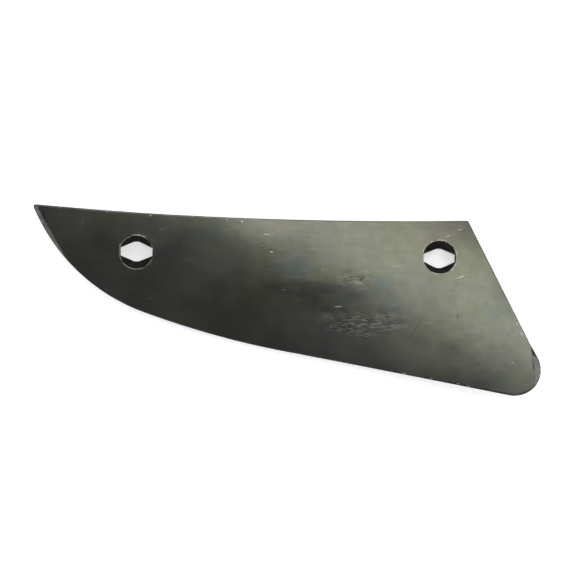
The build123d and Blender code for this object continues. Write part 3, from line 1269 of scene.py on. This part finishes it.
def back_steel(look):
    """Drier and darker mill scale of the back, with patches of rosy scale."""
    steel = Steel("scaled_back")
    patch = steel.noise(size=0.018, detail=5.0, roughness=0.6)
    tint = steel.blotched(patch, 0.56, 0.72, scale_tint(steel, look), look.rosy, most=0.5)
    tint = steel.dimmed(tint, 0.7)
    drag = steel.streaks(radians(4.0), 0.03, 0.0009, 4.0)
    roughness = steel.spread(drag, 0.3, 0.75, look.gloss + 0.1, look.gloss + 0.22)
    return steel.finished(tint, roughness, scale_height(steel, look))


def flat_steel(look):
    """Ground steel of the two flats, drawn across by the wheel and darkened since, with painted
    shade along the crease.
    """
    steel = Steel("ground_flat")
    wheel = steel.streaks(radians(12.0), 0.012, 0.0004, 3.0)
    stain = steel.noise(size=0.006, detail=4.0, roughness=0.6)
    tint = steel.blotched(stain, 0.45, 0.8, look.ground, look.oxide)
    tint = steel.shaded(tint, wheel, *NOISE_RANGE, 0.8, 1.2)
    # painted shade: the crease against the face, where the share of wear falls to nothing, is
    # darkened
    painted_crease_shade = steel.added(steel.worn(), steel.noise(size=0.002, detail=3.0), 0.3)
    tint = steel.shaded(tint, painted_crease_shade, 0.22, 0.42, 0.3, 1.0)
    black = steel.marks(steel.place, BLACK_SPOTS, 0.5, 1.1)
    tint = steel.shaded(tint, black, 0.0, 1.0, 1.0, 0.15)
    bright = steel.spread(steel.noise(size=0.003, detail=3.0), 0.55, 0.7, 0.0, 0.6)
    tint = steel.mix(steel.times(bright, steel.worn()), tint, look.bare)
    return steel.grained(tint, wheel, 0.34, 0.48, look.grain)


def edge_steel(look):
    """Sheared edge: dark oxide with upright shear lines and a few bright knocks."""
    steel = Steel("cut_edge")
    shear = steel.streaks(0.0, 0.0009, 0.0009, 3.0)
    tint = steel.shaded(look.oxide, shear, *NOISE_RANGE, 0.7, 1.4)
    knock = steel.noise(size=0.004, detail=1.0)
    tint = steel.blotched(knock, 0.66, 0.82, tint, look.bare, most=0.3)
    return steel.grained(tint, shear, 0.4, 0.6, look.wave)


def rim_steel(look):
    """Broken rim: dark oxide that knocks have opened here and there to bright steel."""
    steel = Steel("broken_rim")
    knock = steel.noise(size=0.0045, detail=4.0, roughness=0.6)
    tint = steel.blotched(steel.noise(size=0.03), 0.5, 0.75, look.oxide, look.ground)
    tint = steel.blotched(knock, 0.64, 0.72, tint, look.bare, most=0.7)
    return steel.grained(tint, knock, 0.35, 0.55, look.wave)


def seat_steel(look):
    """Bolt seat below its mouth: nearly black oxide, darkened further as painted shade of the
    recess, with a few bright specks.
    """
    steel = Steel("seat_wall")
    soot = steel.noise(size=0.003, detail=4.0)
    # the darkest colour is partly the seat's oxide and partly painted shade of the recess
    tint = steel.blotched(soot, 0.45, 0.75, look.seat, look.oxide)
    speck = steel.noise(size=0.002, detail=3.0)
    tint = steel.blotched(speck, 0.68, 0.76, tint, look.bare, most=0.5)
    return steel.grained(tint, soot, 0.4, 0.6, look.grain)


def mouth_steel(look):
    """Rim of a bolt seat's mouth: bright where bolt heads have rubbed it, dark between."""
    steel = Steel("seat_mouth")
    rub = steel.noise(size=0.005, detail=3.0)
    tint = steel.blotched(rub, 0.36, 0.5, look.oxide, look.bare)
    return steel.grained(tint, rub, 0.35, 0.5, look.grain)


PLATE_STEELS = (
    face_steel,
    back_steel,
    flat_steel,
    edge_steel,
    rim_steel,
    seat_steel,
    mouth_steel,
)


# Stage


def backdrop_mesh(look):
    """Round backdrop: a flat floor, a cove and a wall, as one profile turned about the z axis.

    The profile starts at the cove's foot, climbs a quarter circle and ends up the wall.
    """
    climb = np.linspace(0.0, pi / 2, COVE_ROWS + 1)
    radii = look.backdrop_radius - look.cove_radius * (1 - np.sin(climb))
    heights = look.cove_radius * (1 - np.cos(climb))
    radii = np.append(radii, look.backdrop_radius)
    heights = np.append(heights, look.backdrop_height)
    spots = turned(np.arange(BACKDROP_SIDES) / BACKDROP_SIDES * 2 * pi)[None, :] * radii[:, None]
    rise = np.broadcast_to(heights[:, None], spots.shape)
    points = np.stack([spots.real, spots.imag, rise], -1).reshape(-1, 3)
    index = np.arange(len(points)).reshape(spots.shape)
    ahead = np.roll(index, -1, axis=1)
    quads = np.stack([index[:-1], ahead[:-1], ahead[1:], index[1:]], -1)
    data = bpy.data.meshes.new("backdrop")
    faces = [index[0].tolist(), *quads.reshape(-1, 4)[:, ::-1].tolist()]
    data.from_pydata(points.tolist(), [], faces)
    data.materials.append(floor_material(look))
    data.update()
    return data


def floor_material(look):
    """Plain matt paint that also glows a little, as a light table does."""
    material = bpy.data.materials.new("glowing_floor")
    material.use_nodes = True
    shader = material.node_tree.nodes["Principled BSDF"]
    shader.inputs["Base Color"].default_value = (*look.floor_colour, 1.0)
    shader.inputs["Roughness"].default_value = 1.0
    shader.inputs["Specular IOR Level"].default_value = 0.0
    shader.inputs["Emission Color"].default_value = (*look.floor_colour, 1.0)
    shader.inputs["Emission Strength"].default_value = look.floor_glow
    return material


def soft_box(name, place, size, watts):
    """A rectangular soft light at a place, facing down until it is turned."""
    light = bpy.data.lights.new(name, "AREA")
    light.shape = "RECTANGLE"
    light.size, light.size_y = size
    light.energy = watts
    holder = bpy.data.objects.new(name, light)
    bpy.context.scene.collection.objects.link(holder)
    holder.location = place
    return holder


def aimed(place):
    """Rotation that turns a light at the place towards the plate."""
    return (-Vector(place)).to_track_quat("-Z", "Y").to_euler()


class BREAST_OT_plate(Operator):
    """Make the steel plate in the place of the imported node"""

    bl_idname = "breast.plate"
    bl_label = "Breast plate"

    def execute(self, context):
        scene = context.scene
        data = breast_mesh(
            scene.breast_sheet,
            scene.breast_outline,
            scene.breast_seats,
            scene.breast_flats,
            scene.breast_mesh,
            scene.breast_wear,
        )
        for steel in PLATE_STEELS:
            data.materials.append(steel(scene.breast_steel))
        plate = bpy.data.objects.new("breast_plate_steel", data)
        scene.collection.objects.link(plate)
        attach(plate, ROOT_BODY)
        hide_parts(PLATE_NODE)
        return {"FINISHED"}


class BREAST_OT_stage(Operator):
    """Make the floor, the soft light and the camera"""

    bl_idname = "breast.stage"
    bl_label = "Stage"

    def execute(self, context):
        scene = context.scene
        look = scene.breast_stage
        backdrop = bpy.data.objects.new("backdrop", backdrop_mesh(look))
        scene.collection.objects.link(backdrop)

        lens = bpy.data.cameras.new("overhead_camera")
        reach = look.camera_height - look.plate_level
        lens.angle = 2 * atan(look.view_width / 2 / reach)
        lens.clip_start = 0.01
        lens.clip_end = 50.0
        camera = bpy.data.objects.new("overhead_camera", lens)
        camera.location = (look.camera_x, look.camera_y, look.camera_height)
        camera.rotation_euler = (0.0, 0.0, look.camera_turn)
        scene.collection.objects.link(camera)
        scene.camera = camera

        scene.view_settings.view_transform = "Standard"
        world = bpy.data.worlds.new("studio")
        world.use_nodes = True
        room = world.node_tree.nodes["Background"]
        room.inputs["Color"].default_value = (*look.room_colour, 1.0)
        room.inputs["Strength"].default_value = look.room_light
        scene.world = world
        over = soft_box("overhead_soft_box", OVERHEAD_PLACE, OVERHEAD_SIZE, look.overhead_power)
        over.rotation_euler = (0.0, 0.0, radians(OVERHEAD_TURN))
        for name, place, size, setting in AIMED_BOXES:
            box = soft_box(name, place, size, getattr(look, setting))
            box.rotation_euler = aimed(place)
        return {"FINISHED"}


class BREAST_PT_panel(Panel):
    """Sizes and looks of the breast plate"""

    bl_idname = "BREAST_PT_panel"
    bl_label = "Mouldboard breast"
    bl_space_type = "VIEW_3D"
    bl_region_type = "UI"
    bl_category = "Breast plate"

    def draw(self, context):
        layout = self.layout
        layout.use_property_split = True
        for holder in SETTINGS:
            settings = getattr(context.scene, holder)
            box = layout.box()
            for name in settings.bl_rna.properties.keys():
                if name not in ("rna_type", "name"):
                    box.prop(settings, name)
        for maker in MAKERS:
            layout.operator(maker.bl_idname)


SETTINGS = {
    "breast_sheet": BreastSheet,
    "breast_outline": BreastOutline,
    "breast_seats": BreastSeats,
    "breast_flats": BreastFlats,
    "breast_mesh": BreastMesh,
    "breast_wear": BreastWear,
    "breast_steel": SteelLook,
    "breast_stage": StageLook,
}
MAKERS = (BREAST_OT_plate, BREAST_OT_stage)
CLASSES = (*SETTINGS.values(), *MAKERS, BREAST_PT_panel)


def register():
    """Registers the classes and hangs the settings on the scene."""
    for item in CLASSES:
        bpy.utils.register_class(item)
    for holder, settings in SETTINGS.items():
        setattr(bpy.types.Scene, holder, PointerProperty(type=settings))


def unregister():
    """Takes the settings and the classes away again."""
    for holder in SETTINGS:
        delattr(bpy.types.Scene, holder)
    for item in reversed(CLASSES):
        bpy.utils.unregister_class(item)


def main():
    """Makes the plate and its stage."""
    register()
    bpy.ops.breast.plate()
    bpy.ops.breast.stage()


if __name__ == "__main__":
    main()
